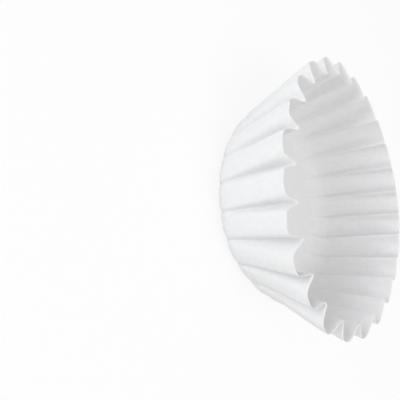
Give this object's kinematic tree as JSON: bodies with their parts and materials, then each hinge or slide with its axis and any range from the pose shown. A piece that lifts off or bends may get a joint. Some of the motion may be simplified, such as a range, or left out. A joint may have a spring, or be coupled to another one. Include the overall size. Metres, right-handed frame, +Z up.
{
  "type": "paper coffee filter",
  "caption": "Basket coffee filter: a round sheet of white crepe filter paper pressed into a flat base, a soft corner and a fluted wall that flares to an open mouth.",
  "frame": {"origin": "middle of the flat base's underside", "axes": "+Z up the filter's axis, out of its mouth; +X and +Y lie in the base's plane, with the middle of a flute on each"},
  "size_m": [0.172, 0.172, 0.0613],
  "materials": {
    "filter_paper": "bleached white crepe filter paper, matt, with a fine soft grain"
  },
  "bodies": {
    "root": {"filter_paper": "filter_paper"}
  },
  "joints": []
}
